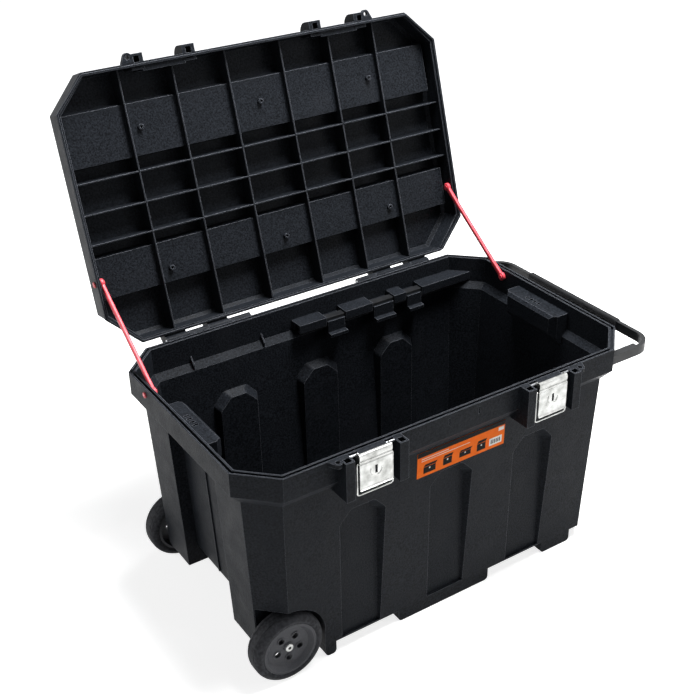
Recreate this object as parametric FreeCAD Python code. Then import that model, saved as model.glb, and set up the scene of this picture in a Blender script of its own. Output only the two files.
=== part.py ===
import FreeCAD, Part
import math
import os

# Mobile jobsite storage box with its lid propped open. Millimetres, +Z up, the floor at z = 0.
# +X points to the pull handle, -X to the wheels, -Y to the front with the two latches.

Vec = FreeCAD.Vector
X_AXIS = Vec(1, 0, 0)
Y_AXIS = Vec(0, 1, 0)
Z_AXIS = Vec(0, 0, 1)

# chest: the rim outline is a rectangle with cut corners
rim_length = 960.0
rim_depth = 582.0
rim_corner = 72.0
rim_height = 519.0
ground_gap = 30.0
wall = 4.0
skirt_height = 53.0
bevel_height = 27.0
skirt_overhang = 24.0
base_draw_in = 17.0

# the skirt is thick inside, down to a short slope; its top has the groove that takes the lid's tongue
band_width = 14.0
ledge_rise = 14.0
ledge_rib = 3.0
ledge_rib_height = 36.0
ledge_rib_inset = 169.0
ledge_rib_pitch = 178.0
groove_width = 6.5
groove_depth = 7.0
groove_offset = 3.5

# two short slots in the skirt between the latches
mark_x = [-31.0, 43.0]
mark_width = 2.5
mark_height = 16.0
mark_drop = 26.0
mark_depth = 1.5

# upright flutes pressed into the front and the back
flute_end_inset = 261.5
flute_half_width = 55.0
flute_top_drop = 73.0
flute_crown = 27.0
flute_shoulder = 29.0
flute_corner_round = 14.0
flute_depth = 20.0
flute_low_depth = 6.0
flute_side_slope = 10.0

# wheel end: wells for the wheels, a bay for the axle and a tall channel between two legs
axle_end_inset_x = 84.0
tyre_radius = 79.0
tyre_width = 48.0
tyre_shoulder = 15.0
tyre_shoulder_steps = 6
tyre_side_draw = 2.0
wheel_face_inset = 27.0
well_gap = 9.0
well_side_gap = 10.0
bay_inset = 130.0
bay_height = 107.0
leg_inset = 110.0
leg_bottom = 62.0
leg_wall = 5.0
channel_half_width = 104.0
channel_depth = 28.0
channel_rib_width = 4.0
channel_rib_height = 3.0

# feet along the front and the back; the outer ones are placed from the ends
wheel_foot_near = 173.0
wheel_foot_far = 199.0
middle_foot_half = 122.0
handle_foot_near = 115.0
handle_foot_far = 201.0
foot_thickness = 42.0
foot_round = 9.0

# hand holds moulded under the rim at both ends
grip_half_width = 82.0
grip_depth = 56.0
grip_top_drop = 24.0
grip_corner = 12.0
grip_edge = 5.0
grip_slot_pitch = 13.0
grip_slot_count = 4
grip_slot_width = 5.0
grip_slot_length = 11.0
grip_slot_y = 8.0

# latches
latch_end_inset = 261.0
column_inner = 51.0
column_width = 20.0
column_reach = 27.0
column_drop = 88.0
column_pocket = 13.0
column_pocket_depth = 24.0
padlock_offset = 79.0
padlock_reach = 11.5
padlock_radius = 9.5
padlock_hole = 5.0
padlock_ear = 9.0
padlock_flare = 16.0

lever_width = 74.0
lever_sheet = 1.6
lever_reach = 20.0
lever_rise = 3.0
lever_length = 80.0
lug_length = 40.0
lug_depth = 17.0
lug_over_pin = 4.5
latch_pin_forward = 6.5
latch_pin_drop = 3.0
latch_pin_radius = 2.5
latch_pin_reach = 58.0
pin_boss_half = 31.0
pin_boss_wall = 2.5

bail_wire = 3.5
bail_pivot_forward = 16.3
bail_pivot_drop = 19.0
bail_length = 71.0
bail_side_gap = 1.75
bail_tip_in = 6.0

# lid, described closed and then swung open about the hinge axis
lid_end_inset = 5.0
lid_back_inset = 2.5
lid_front_inset = 1.0
lid_corner_x = 70.0
lid_corner_y = 74.0
lid_height = 61.0
lid_bevel = 9.0
lid_draw_in = 3.0
lid_wall = 4.0
lid_rim_width = 9.0
lid_rim_height = 6.0
lid_seat_gap = 0.6
lid_opening = 106.5
trough_depth = 27.5
trough_spans = [(110.5, 192.5), (391.5, 494.5)]
lid_rib = 3.0
lid_rib_edge = 16.5
lid_rib_x = [-320.0, -197.0, -69.0, 69.0, 197.0, 320.0]
lid_rib_v = [226.5, 290.5, 356.5]
lid_boss_u = [-292.0, 0.0, 292.0]
lid_boss_v = [136.5, 446.5]
lid_boss_radius = 6.0
lid_boss_hole = 2.5
lid_boss_height = 8.0
tongue_width = 4.5
tongue_height = 5.0

ear_inner = 45.0
ear_outer = 75.0
ear_reach = 18.0
ear_height = 46.0
ear_round = 26.0
ear_wall = 5.0
ear_pocket = 13.0
notch_low = 5.0
notch_high = 51.0
notch_depth = 16.0
keeper_half_width = 33.0
keeper_low = 35.0
keeper_high = 45.5
keeper_lip = 1.4
keeper_lip_width = 2.0

# hinges
hinge_end_inset = 230.0
hinge_reach = 9.4
hinge_drop = 5.6
knuckle_radius = 9.0
knuckle_pitch = 52.0
knuckle_gap = 1.0
chest_knuckles = [-2, 0]
lid_knuckles = [-1, 1]
hinge_pin_radius = 4.0
hinge_pin_clearance = 0.08

# pull handle: a flat bar bent round, with long arms that slide in rails in the chest
arm_inset = 38.0
arm_width = 18.0
arm_height = 22.0
arm_wall = 1.5
arm_inner_end = -45.0
handle_drop = 52.0
handle_loop = 85.0
bar_thickness = 9.0
bend_radius = 50.0
grip_half_length = 150.0
grip_width = 20.0
grip_height = 28.0
grip_round = 8.0
rail_clearance = 0.4
rail_wall = 5.0
rail_overlap = 4.0
upper_hook_spans = [(-52.0, 20.0), (73.0, 149.0), (212.0, 246.0)]
upper_hook_last = 294.0
lower_hook_spans = [(24.0, 70.0), (153.0, 208.0), (250.0, 290.0)]
shelf_reach = 13.0
shelf_drop = 24.0
shelf_thickness = 8.0
core_slot_width = 9.0
core_slot_height = 14.0
core_slot_x = [73.0, 211.0]

# axle and wheels
axle_radius = 5.0
bearing_clearance = 0.06
hub_radius = 60.0
hub_face_inset = 2.0
hub_web = 8.0
hub_web_inset = 9.0
hub_rim_wall = 5.0
hub_rim_slope = 9.0
hub_boss_radius = 12.0
hub_boss_height = 1.5
hub_hole_radius = 7.0
hub_hole_circle = 27.0
hub_hole_ring = 2.5
hub_hole_ring_height = 1.2
hub_hole_count = 5
hub_hole_start = 54.0
spacer_radius = 9.0
cap_radius = 9.0
cap_length = 4.0
cap_lip = 1.0
cap_crown = 2.0
running_gap = 0.3

# lid stays: soft straps with a moulded eye at each end
stay_inset = 24.0
stay_thickness = 8.0
stay_width = 9.0
stay_round = 2.5
stay_eye_radius = 10.0
stay_pin_radius = 3.0
stay_head_radius = 6.5
stay_head_height = 3.0
stay_low_y = 141.0
stay_low_drop = 16.0
stay_high_v = 147.5
stay_high_n = 12.0

# label panel on the front wall
label_x = (-90.0, 134.0)
label_drop = 6.0
label_height = 61.0
label_thickness = 0.8

# derived places
half_length = rim_length / 2
half_depth = rim_depth / 2
skirt_bottom = rim_height - skirt_height
wall_top = skirt_bottom - bevel_height
base_inset = skirt_overhang + base_draw_in
base_front_y = half_depth - base_inset
base_end_x = half_length - base_inset
draft = math.degrees(math.atan(base_draw_in / (wall_top - ground_gap)))
flute_pitch = half_length - flute_end_inset
latch_x = half_length - latch_end_inset
hinge_x = half_length - hinge_end_inset
axle_x = axle_end_inset_x - half_length
bay_inner_x = bay_inset - half_length
leg_inner_x = leg_inset - half_length
axle_z = tyre_radius
foot_spans = [
    (wheel_foot_near - half_length, wheel_foot_far - half_length),
    (-middle_foot_half, middle_foot_half),
    (half_length - handle_foot_far, half_length - handle_foot_near),
]
column_face_y = half_depth + column_reach
padlock_y = half_depth + padlock_reach
flute_top = wall_top - flute_top_drop
latch_pin_y = half_depth + latch_pin_forward
latch_pin_z = rim_height - latch_pin_drop
bail_pivot_y = half_depth + bail_pivot_forward
bail_pivot_z = rim_height - bail_pivot_drop
lever_face_y = half_depth + lever_reach
lever_top = rim_height + lever_rise
hinge_y = half_depth + hinge_reach
hinge_z = rim_height - hinge_drop
arm_y = half_depth - arm_inset
handle_z = rim_height - handle_drop
handle_reach = half_length + handle_loop
stay_plane_x = half_length - stay_inset
stay_low_z = rim_height - stay_low_drop
wheel_face_y = half_depth - wheel_face_inset
hub_web_y = wheel_face_y - hub_face_inset - hub_web_inset
cap_y = hub_web_y + hub_boss_height + running_gap
axle_half_length = cap_y + cap_length - cap_lip
tyre_inner_y = wheel_face_y - tyre_width
well_y = tyre_inner_y - well_side_gap
well_radius = tyre_radius + well_gap
lid_plane = rim_height + lid_seat_gap
lid_half_length = half_length - lid_end_inset
lid_back_y = half_depth - lid_back_inset
lid_front_y = -half_depth + lid_front_inset
hinge_point = Vec(0, hinge_y, hinge_z)


def box(x0, x1, y0, y1, z0, z1):
    return Part.makeBox(x1 - x0, y1 - y0, z1 - z0, Vec(x0, y0, z0))


def fuse(shapes):
    return shapes[0].multiFuse(shapes[1:]).removeSplitter()


def polygon(points):
    return Part.makePolygon(points + [points[0]])


def prism(points, direction):
    return Part.Face(polygon(points)).extrude(direction)


def mirror_x(shape):
    return shape.mirror(Vec(0, 0, 0), X_AXIS)


def mirror_y(shape):
    return shape.mirror(Vec(0, 0, 0), Y_AXIS)


def moved(shape, x=0.0, y=0.0, z=0.0):
    copy = shape.copy()
    copy.translate(Vec(x, y, z))
    return copy


def rod(radius, start, direction, length):
    return Part.makeCylinder(radius, length, start, direction)


def cut_corner_outline(x_half, y_low, y_high, corner_x, corner_y, z):
    points = [
        Vec(-x_half + corner_x, y_low, z),
        Vec(x_half - corner_x, y_low, z),
        Vec(x_half, y_low + corner_y, z),
        Vec(x_half, y_high - corner_y, z),
        Vec(x_half - corner_x, y_high, z),
        Vec(-x_half + corner_x, y_high, z),
        Vec(-x_half, y_high - corner_y, z),
        Vec(-x_half, y_low + corner_y, z),
    ]
    return polygon(points)


def corner_after(corner, inset):
    return corner - inset * (2 - math.sqrt(2))


def chest_outline(inset, z):
    x_half = half_length - inset
    y_half = half_depth - inset
    corner = corner_after(rim_corner, inset)
    return cut_corner_outline(x_half, -y_half, y_half, corner, corner, z)


def stack(wires):
    parts = []
    for lower, upper in zip(wires[:-1], wires[1:]):
        parts.append(Part.makeLoft([lower, upper], True, True))
    return fuse(parts)


def chest_outer():
    wires = [
        chest_outline(base_inset, ground_gap),
        chest_outline(skirt_overhang, wall_top),
        chest_outline(0, skirt_bottom),
        chest_outline(0, rim_height),
    ]
    return stack(wires)


def chest_cavity():
    wires = [
        chest_outline(base_inset + wall, ground_gap + wall),
        chest_outline(skirt_overhang + wall, wall_top + wall),
        chest_outline(band_width, wall_top + wall + ledge_rise),
        chest_outline(band_width, rim_height + 1),
    ]
    return stack(wires)


def arch_wire(half_width, top, bottom, y):
    # an upright panel with cut shoulders
    crown = half_width - (flute_half_width - flute_crown)
    shoulder = top - flute_shoulder
    places = [
        Vec(-half_width, y, bottom),
        Vec(-half_width, y, shoulder),
        Vec(-crown, y, top),
        Vec(crown, y, top),
        Vec(half_width, y, shoulder),
        Vec(half_width, y, bottom),
    ]
    return polygon(places)


def flute_tool(grow, low):
    # a tapered panel with an upright floor, so it is deepest at the top, where the wall leans out
    slope = flute_side_slope / flute_depth
    floor_y = -base_front_y + flute_low_depth + grow
    outside = half_depth + floor_y
    inner_half = flute_half_width + grow - flute_side_slope - slope * grow
    outer_half = inner_half + slope * outside
    inner_top = flute_top + grow - flute_side_slope - slope * grow
    outer_wire = arch_wire(outer_half, inner_top + slope * outside, low, -half_depth)
    inner_wire = arch_wire(inner_half, inner_top, low, floor_y)
    tool = Part.makeLoft([outer_wire, inner_wire], True, True)
    corners = [e for e in tool.Edges if e.CenterOfMass.z > flute_top - 2 * flute_shoulder and is_lengthwise(e)]
    return tool.makeFillet(flute_corner_round, corners)


def is_lengthwise(edge):
    box_of_edge = edge.BoundBox
    return box_of_edge.YLength > box_of_edge.XLength and box_of_edge.YLength > box_of_edge.ZLength


def flute_tools(grow, low):
    tools = []
    for index in (-1, 0, 1):
        front = moved(flute_tool(grow, low), x=index * flute_pitch)
        tools.append(front)
        tools.append(mirror_y(front))
    return tools


def well_tools(grow):
    top = axle_z + well_radius + grow
    inner = well_y - grow
    outside = half_depth + 20
    arch = rod(well_radius + grow, Vec(axle_x, inner, axle_z), Y_AXIS, outside - inner)
    corner = box(-half_length - 20, axle_x, inner, outside, -10, top)
    under = box(axle_x - 1, axle_x + well_radius + grow, inner, outside, -10, axle_z)
    tool = fuse([arch, corner, under])
    return [tool, mirror_y(tool)]


def leg_blocks():
    leg = box(-half_length, leg_inner_x, channel_half_width, well_y, leg_bottom, bay_height + 1)
    return [leg, mirror_y(leg)]


def bay_tool(grow):
    return box(-half_length - 20, bay_inner_x + grow, -well_y - 1, well_y + 1, -10, bay_height + grow)


def channel_tool(grow):
    floor_x = -base_end_x + channel_depth + grow
    half = channel_half_width + grow
    tool = box(-rim_length, floor_x, -half, half, -ground_gap, wall_top + grow)
    tool.rotate(Vec(-base_end_x, 0, ground_gap), Y_AXIS, -draft)
    ceiling = box(-2 * rim_length, 0, -rim_depth, rim_depth, wall_top + grow, 2 * rim_height)
    return tool.cut(ceiling)


def channel_rib():
    floor_x = -base_end_x + channel_depth
    half = channel_rib_width / 2
    rib = box(floor_x - channel_rib_height, floor_x + 1, -half, half, bay_height, wall_top - 1)
    rib.rotate(Vec(-base_end_x, 0, ground_gap), Y_AXIS, -draft)
    return rib


def grip_profile(grow):
    # hand hold seen along Y: open to the outside and below, closed to the inside of the chest
    skin = half_length - wall
    inner = half_length - grip_depth - grow
    top = rim_height - grip_top_drop + grow
    low = wall_top - 14 - grow
    half = grip_half_width + grow
    edge = corner_after(grip_edge, -grow)
    corner = corner_after(grip_corner, -grow)
    outside = half_length + 5
    points = [
        Vec(skin, -half, top),
        Vec(inner + edge, -half, top),
        Vec(inner, -half, top - edge),
        Vec(inner, -half, wall_top + 16),
        Vec(half_length - skirt_overhang - 6, -half, low),
        Vec(outside, -half, low),
        Vec(outside, -half, skirt_bottom - 10),
        Vec(skin, -half, skirt_bottom - 8),
    ]
    plan = [
        Vec(outside, -half, 0),
        Vec(inner + corner, -half, 0),
        Vec(inner, -half + corner, 0),
        Vec(inner, half - corner, 0),
        Vec(inner + corner, half, 0),
        Vec(outside, half, 0),
    ]
    return prism(points, Vec(0, 2 * half, 0)).common(prism(plan, Vec(0, 0, rim_height)))


def grip_slots():
    # a row of short slots through the top of the hand hold
    middle = half_length - (band_width + grip_depth + wall) / 2
    top = rim_height - grip_top_drop
    slots = []
    for index in range(grip_slot_count):
        y = grip_slot_y + (index - (grip_slot_count - 1) / 2) * grip_slot_pitch
        slots.append(box(middle - grip_slot_length / 2, middle + grip_slot_length / 2, y - grip_slot_width / 2,
                         y + grip_slot_width / 2, top - 1, top + wall + 1))
    return slots + [mirror_x(slot) for slot in slots]


def feet():
    blocks = []
    for start, end in foot_spans:
        foot = box(start, end, -base_front_y, -base_front_y + foot_thickness, 0, ground_gap + wall)
        lower = [e for e in foot.Edges if is_foot_round(e, start, end)]
        foot = foot.makeFillet(foot_round, lower)
        blocks.append(foot)
        blocks.append(mirror_y(foot))
    return blocks


def is_foot_round(edge, start, end):
    centre = edge.CenterOfMass
    at_end = abs(centre.x - start) < 0.01 or abs(centre.x - end) < 0.01
    return at_end and abs(centre.z) < 0.01


def padlock_tab(inner_x, low):
    # a round eye that flares into the rim
    side = padlock_offset + padlock_radius * math.cos(math.radians(30))
    front = -padlock_y - padlock_radius * math.sin(math.radians(30))
    back = -half_depth + 3
    points = [
        Vec(inner_x, back, low),
        Vec(inner_x, front, low),
        Vec(side, front, low),
        Vec(padlock_offset + padlock_flare, -half_depth, low),
        Vec(padlock_offset + padlock_flare, back, low),
    ]
    eye = rod(padlock_radius, Vec(padlock_offset, -padlock_y, low), Z_AXIS, padlock_ear)
    return fuse([prism(points, Vec(0, 0, padlock_ear)), eye])


def latch_brackets():
    # two hollow columns and a padlock tab, drawn about x = 0 with the tab on the +X side
    column_bottom = rim_height - column_drop
    outer_x = column_inner + column_width
    column_back = -half_depth + skirt_overhang + 2
    column = box(column_inner, outer_x, -column_face_y, column_back, column_bottom, rim_height)
    boss_face = latch_pin_y + latch_pin_radius + pin_boss_wall
    boss_low = latch_pin_z - 2 * pin_boss_wall - latch_pin_radius
    boss = box(-pin_boss_half, pin_boss_half, -boss_face, 1 - half_depth, boss_low, rim_height)
    return fuse([column, mirror_x(column), boss, padlock_tab(outer_x - 1, rim_height - padlock_ear)])


def latch_bracket_cuts():
    pocket_x = column_inner + (column_width - column_pocket) / 2
    pocket_y = -column_face_y + wall
    pocket = box(pocket_x, pocket_x + column_pocket, pocket_y, pocket_y + column_pocket,
                 rim_height - column_pocket_depth, rim_height + 1)
    hole_start = Vec(padlock_offset, -padlock_y, rim_height - padlock_ear - 1)
    hole = rod(padlock_hole, hole_start, Z_AXIS, padlock_ear + 2)
    pin_start = Vec(-latch_pin_reach, -latch_pin_y, latch_pin_z)
    pin_hole = rod(latch_pin_radius, pin_start, X_AXIS, 2 * latch_pin_reach)
    return [pocket, mirror_x(pocket), hole, pin_hole]


def at_latches(shapes):
    # copies about x = 0 go to both latches, mirrored so that the ear points outboard
    placed = []
    for shape in shapes:
        right = moved(shape, x=latch_x)
        placed.append(right)
        placed.append(mirror_x(right))
    return placed


def knuckle_span(index):
    start = hinge_x + index * knuckle_pitch + knuckle_gap / 2
    return start, knuckle_pitch - knuckle_gap


def hinge_blocks():
    blocks = []
    for index in chest_knuckles:
        start, width = knuckle_span(index)
        barrel = rod(knuckle_radius, Vec(start, hinge_y, hinge_z), X_AXIS, width)
        web_points = [
            Vec(start, half_depth - 2, hinge_z + knuckle_radius - 4),
            Vec(start, hinge_y, hinge_z + knuckle_radius - 4),
            Vec(start, hinge_y + knuckle_radius - 1, hinge_z - 2),
            Vec(start, half_depth - 2, hinge_z - 30),
        ]
        block = fuse([barrel, prism(web_points, Vec(width, 0, 0))])
        blocks += [block, mirror_x(block)]
    return blocks


def hinge_rods(radius, extra):
    half = 2 * knuckle_pitch + extra
    right = rod(radius, Vec(hinge_x - half, hinge_y, hinge_z), X_AXIS, 2 * half)
    return [right, mirror_x(right)]


def rim_groove():
    outer = Part.Face(chest_outline(groove_offset, rim_height - groove_depth))
    inner = Part.Face(chest_outline(groove_offset + groove_width, rim_height - groove_depth))
    return outer.cut(inner).extrude(Vec(0, 0, groove_depth + 1))


def rail_blocks(outer):
    # hooks over the arms, and between them hooks under the arms, each on a shelf
    around = rail_clearance + rail_wall
    half = arm_height / 2 + around
    inner_y = arm_y - arm_width / 2 - around
    shelf_top = handle_z - shelf_drop
    blocks = []
    for start, end in upper_hook_spans + [(upper_hook_last, half_length)]:
        hook = box(start, end, inner_y, half_depth, handle_z - rail_overlap, handle_z + half)
        blocks.append(hook.common(outer))
    for start, end in lower_hook_spans:
        hook = box(start, end, inner_y, half_depth, shelf_top - shelf_thickness, handle_z + rail_overlap)
        shelf = box(start, end, inner_y - shelf_reach, half_depth, shelf_top - shelf_thickness, shelf_top)
        blocks.append(fuse([hook, shelf]).common(outer))
    return blocks + [mirror_y(block) for block in blocks]


def core_slots():
    # slots in the back wall beside two of the lower hooks
    inner_y = arm_y + arm_width / 2
    low = handle_z - shelf_drop
    high = low + core_slot_height
    slots = []
    for x in core_slot_x:
        slots.append(box(x, x + core_slot_width, inner_y, half_depth + 1, low, high))
    return slots


def rail_bores():
    half_y = arm_width / 2 + rail_clearance
    half_z = arm_height / 2 + rail_clearance
    bore = box(arm_inner_end - 10, half_length + 10, arm_y - half_y, arm_y + half_y,
               handle_z - half_z, handle_z + half_z)
    return [bore, mirror_y(bore)]


def stay_low_holes():
    hole = rod(stay_pin_radius, Vec(stay_plane_x, stay_low_y, stay_low_z), X_AXIS, 2 * stay_inset)
    return [hole, mirror_x(hole)]


def make_chest_shell():
    outer = chest_outer()
    solid = fuse([outer] + at_latches([latch_brackets()]))
    solid = solid.cut(bay_tool(0).cut(Part.makeCompound(leg_blocks())))
    for tool in flute_tools(0, ground_gap + wall) + well_tools(0) + [channel_tool(0)]:
        solid = solid.cut(tool)
    solid = fuse([solid, channel_rib()])

    cavity = chest_cavity()
    inner_tools = flute_tools(wall, 0) + well_tools(wall) + [bay_tool(wall), channel_tool(wall)]
    inner_tools += [grip_profile(wall), mirror_x(grip_profile(wall))]
    for tool in inner_tools:
        cavity = cavity.cut(tool)
    shell = solid.cut(cavity)

    shell = fuse([shell] + rail_blocks(outer) + feet() + ledge_ribs() + hinge_blocks())
    cuts = [grip_profile(0), mirror_x(grip_profile(0)), rim_groove()]
    cuts += rail_bores() + at_latches(latch_bracket_cuts()) + stay_low_holes()
    cuts += hinge_rods(hinge_pin_radius, 1) + leg_pockets() + rim_marks() + grip_slots() + core_slots()
    cuts.append(rod(axle_radius, Vec(axle_x, -rim_depth, axle_z), Y_AXIS, 2 * rim_depth))
    for tool in cuts:
        shell = shell.cut(tool)
    return shell


def ledge_ribs():
    # short upright ribs on the slope inside the back wall
    inner_y = half_depth - skirt_overhang - wall
    outer_y = half_depth - band_width + 1
    low = wall_top
    outer_x = half_length - ledge_rib_inset
    ribs = []
    for x in (-outer_x, ledge_rib_pitch - outer_x, outer_x - ledge_rib_pitch, outer_x):
        start = x - ledge_rib / 2
        points = [
            Vec(start, inner_y, low),
            Vec(start, inner_y, low + ledge_rib_height / 2),
            Vec(start, outer_y, low + ledge_rib_height),
            Vec(start, outer_y, low),
        ]
        ribs.append(prism(points, Vec(ledge_rib, 0, 0)))
    return ribs


def rim_marks():
    # two short upright slots in the front of the skirt
    low = rim_height - mark_drop
    slots = []
    for x in mark_x:
        slots.append(box(x - mark_width / 2, x + mark_width / 2, -half_depth - 1, -half_depth + mark_depth,
                         low, low + mark_height))
    return slots


def leg_pockets():
    pocket = box(-base_end_x + leg_wall, leg_inner_x - leg_wall, channel_half_width + leg_wall,
                 well_y - leg_wall, leg_bottom - 1, bay_height - leg_wall)
    return [pocket, mirror_y(pocket)]


def make_label():
    top = wall_top - label_drop
    label = box(label_x[0], label_x[1], -base_front_y - label_thickness, -base_front_y, top - label_height, top)
    label.rotate(Vec(0, -base_front_y, ground_gap), X_AXIS, draft)
    return label


def lid_outline(inset, height):
    x_half = lid_half_length - inset
    corner_x = corner_after(lid_corner_x, inset)
    corner_y = corner_after(lid_corner_y, inset)
    front_y = lid_front_y + inset
    back_y = lid_back_y - inset
    return cut_corner_outline(x_half, front_y, back_y, corner_x, corner_y, lid_plane + height)


def lid_trough(span, grow):
    start, end = span
    low = lid_height - trough_depth - grow
    slope = 4.0
    y_far = lid_back_y - end - grow
    y_near = lid_back_y - start + grow
    x_half = lid_half_length - lid_bevel - lid_draw_in - slope + grow
    lower = rectangle(x_half - slope, y_far, y_near, lid_plane + low)
    upper = rectangle(x_half, y_far - slope, y_near + slope, lid_plane + lid_height + 1)
    return Part.makeLoft([lower, upper], True, True)


def rectangle(x_half, y_low, y_high, z):
    return polygon([
        Vec(-x_half, y_low, z),
        Vec(x_half, y_low, z),
        Vec(x_half, y_high, z),
        Vec(-x_half, y_high, z),
    ])


def make_lid_closed():
    side = lid_height - lid_bevel
    top_inset = lid_draw_in + lid_bevel
    outer = stack([lid_outline(0, 0), lid_outline(lid_draw_in, side), lid_outline(top_inset, lid_height)])
    cavity = stack([
        lid_outline(lid_rim_width, -1),
        lid_outline(lid_rim_width, lid_rim_height),
        lid_outline(lid_wall, lid_rim_height + lid_rim_width - lid_wall),
        lid_outline(lid_wall + lid_draw_in, side - lid_wall / 2),
        lid_outline(lid_wall + top_inset - 2, lid_height - lid_wall),
    ])
    ribs = lid_ribs().common(cavity)
    for span in trough_spans:
        outer = outer.cut(lid_trough(span, 0))
        cavity = cavity.cut(lid_trough(span, lid_wall))
        ribs = ribs.cut(lid_trough(span, 0))
    notches = at_latches([lid_notch(0)])
    for notch in at_latches([lid_notch(lid_wall)]):
        cavity = cavity.cut(notch)
    shell = outer.cut(cavity)
    shell = fuse([shell, ribs] + lid_bosses())
    for notch in notches:
        shell = shell.cut(notch)
    shell = fuse([shell] + at_latches([lid_ears()]) + lid_hinge_ears())
    cuts = lid_boss_holes() + at_latches([lid_padlock_hole()]) + lid_stay_holes()
    cuts += hinge_rods(hinge_pin_radius + hinge_pin_clearance, 1)
    for tool in cuts:
        shell = shell.cut(tool)
    return fuse([shell, lid_tongue()])


def lid_ribs():
    top = lid_plane + lid_height - 1
    low = lid_plane + lid_rib_edge
    half = lid_rib / 2
    ribs = []
    for x in lid_rib_x:
        ribs.append(box(x - half, x + half, lid_front_y, lid_back_y, low, top))
    for v in lid_rib_v:
        y = lid_back_y - v
        ribs.append(box(-lid_half_length, lid_half_length, y - half, y + half, low, top))
    return fuse(ribs)


def boss_places():
    places = []
    for v in lid_boss_v:
        for u in lid_boss_u:
            places.append(Vec(u, lid_back_y - v, lid_plane + lid_height - trough_depth - lid_wall))
    return places


def lid_bosses():
    drop = Vec(0, 0, -lid_boss_height)
    return [rod(lid_boss_radius, place + drop, Z_AXIS, lid_boss_height + 1) for place in boss_places()]


def lid_boss_holes():
    drop = Vec(0, 0, -lid_boss_height - 1)
    return [rod(lid_boss_hole, place + drop, Z_AXIS, lid_boss_height) for place in boss_places()]


def lid_tongue():
    mid = groove_offset + groove_width / 2
    outer = Part.Face(chest_outline(mid - tongue_width / 2, lid_plane - tongue_height))
    inner = Part.Face(chest_outline(mid + tongue_width / 2, lid_plane - tongue_height))
    ring = outer.cut(inner).extrude(Vec(0, 0, tongue_height + 1))
    return ring.common(box(-half_length, half_length, lid_front_y + 3, lid_back_y - 3, 0, 2 * rim_height))


def lid_notch(grow):
    # the recess between the ears that takes the bail
    half = ear_inner + grow
    return box(-half, half, lid_front_y - 1, lid_front_y + notch_depth + grow,
               lid_plane + notch_low - grow, lid_plane + notch_high + grow)


def lid_ears():
    # rounded ears beside the latch and the keeper in the recess between them, drawn about x = 0
    base = lid_plane
    front = lid_front_y - ear_reach
    back = lid_front_y + notch_depth
    block = box(ear_inner, ear_outer, front, back, base, base + ear_height)
    crown = [e for e in block.Edges if is_ear_crown(e, front, base + ear_height)]
    block = block.makeFillet(ear_round, crown)
    middle = (ear_inner + ear_outer) / 2
    hollow = box(middle - ear_pocket / 2, middle + ear_pocket / 2, front + ear_wall, back - ear_wall,
                 base - 1, base + ear_height - ear_round)
    ear = block.cut(hollow)
    half = keeper_half_width
    ledge = box(-half, half, lid_front_y, back + 1, base + keeper_low, base + keeper_high)
    lip = box(-half, half, lid_front_y, lid_front_y + keeper_lip_width,
              base + keeper_high - 1, base + keeper_high + keeper_lip)
    return fuse([ear, mirror_x(ear), padlock_tab(ear_outer - 1, base), ledge, lip])


def is_ear_crown(edge, y, z):
    centre = edge.CenterOfMass
    return abs(centre.y - y) < 0.01 and abs(centre.z - z) < 0.01


def lid_padlock_hole():
    return rod(padlock_hole, Vec(padlock_offset, -padlock_y, lid_plane - 1), Z_AXIS, padlock_ear + 2)


def lid_hinge_ears():
    clear = half_depth + 0.6
    ears = []
    for index in lid_knuckles:
        low, width = knuckle_span(index)
        barrel = rod(knuckle_radius, Vec(low, hinge_y, hinge_z), X_AXIS, width)
        profile = [
            Vec(low, clear, hinge_z),
            Vec(low, clear, lid_plane + 0.6),
            Vec(low, lid_back_y - 3, lid_plane + 0.6),
            Vec(low, lid_back_y - 4, lid_plane + 36),
            Vec(low, hinge_y + knuckle_radius, lid_plane + 20),
            Vec(low, hinge_y + knuckle_radius, hinge_z),
        ]
        ear = fuse([barrel, prism(profile, Vec(width, 0, 0))])
        ears += [ear, mirror_x(ear)]
    return ears


def stay_high_closed(x):
    return Vec(x, lid_back_y - stay_high_v, lid_plane + stay_high_n)


def lid_stay_holes():
    hole = rod(stay_pin_radius, stay_high_closed(stay_plane_x), X_AXIS, 2 * stay_inset)
    return [hole, mirror_x(hole)]


def open_lid(shape):
    swung = shape.copy()
    swung.rotate(hinge_point, X_AXIS, -lid_opening)
    return swung


def open_point(point):
    placement = FreeCAD.Placement(Vec(0, 0, 0), FreeCAD.Rotation(X_AXIS, -lid_opening), hinge_point)
    return placement.multVec(point)


def make_latch_lever():
    half = lever_width / 2
    face = -lever_face_y
    inner = face + lever_sheet
    plate = box(-half, half, face, inner, lever_top - lever_length, lever_top)
    lug_top = latch_pin_z + lug_over_pin
    lug = box(half - lever_sheet, half, face, face + lug_depth, lever_top - 1 - lug_length, lug_top)
    lever = fuse([plate, lug, mirror_x(lug)])
    pin_radius = latch_pin_radius + bearing_clearance
    tip_radius = bail_wire / 2 + bearing_clearance
    lever = lever.cut(rod(pin_radius, Vec(-half - 1, -latch_pin_y, latch_pin_z), X_AXIS, lever_width + 2))
    return lever.cut(rod(tip_radius, Vec(-half - 1, -bail_pivot_y, bail_pivot_z), X_AXIS, lever_width + 2))


def make_latch_pin():
    return rod(latch_pin_radius, Vec(-latch_pin_reach, -latch_pin_y, latch_pin_z), X_AXIS, 2 * latch_pin_reach)


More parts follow.
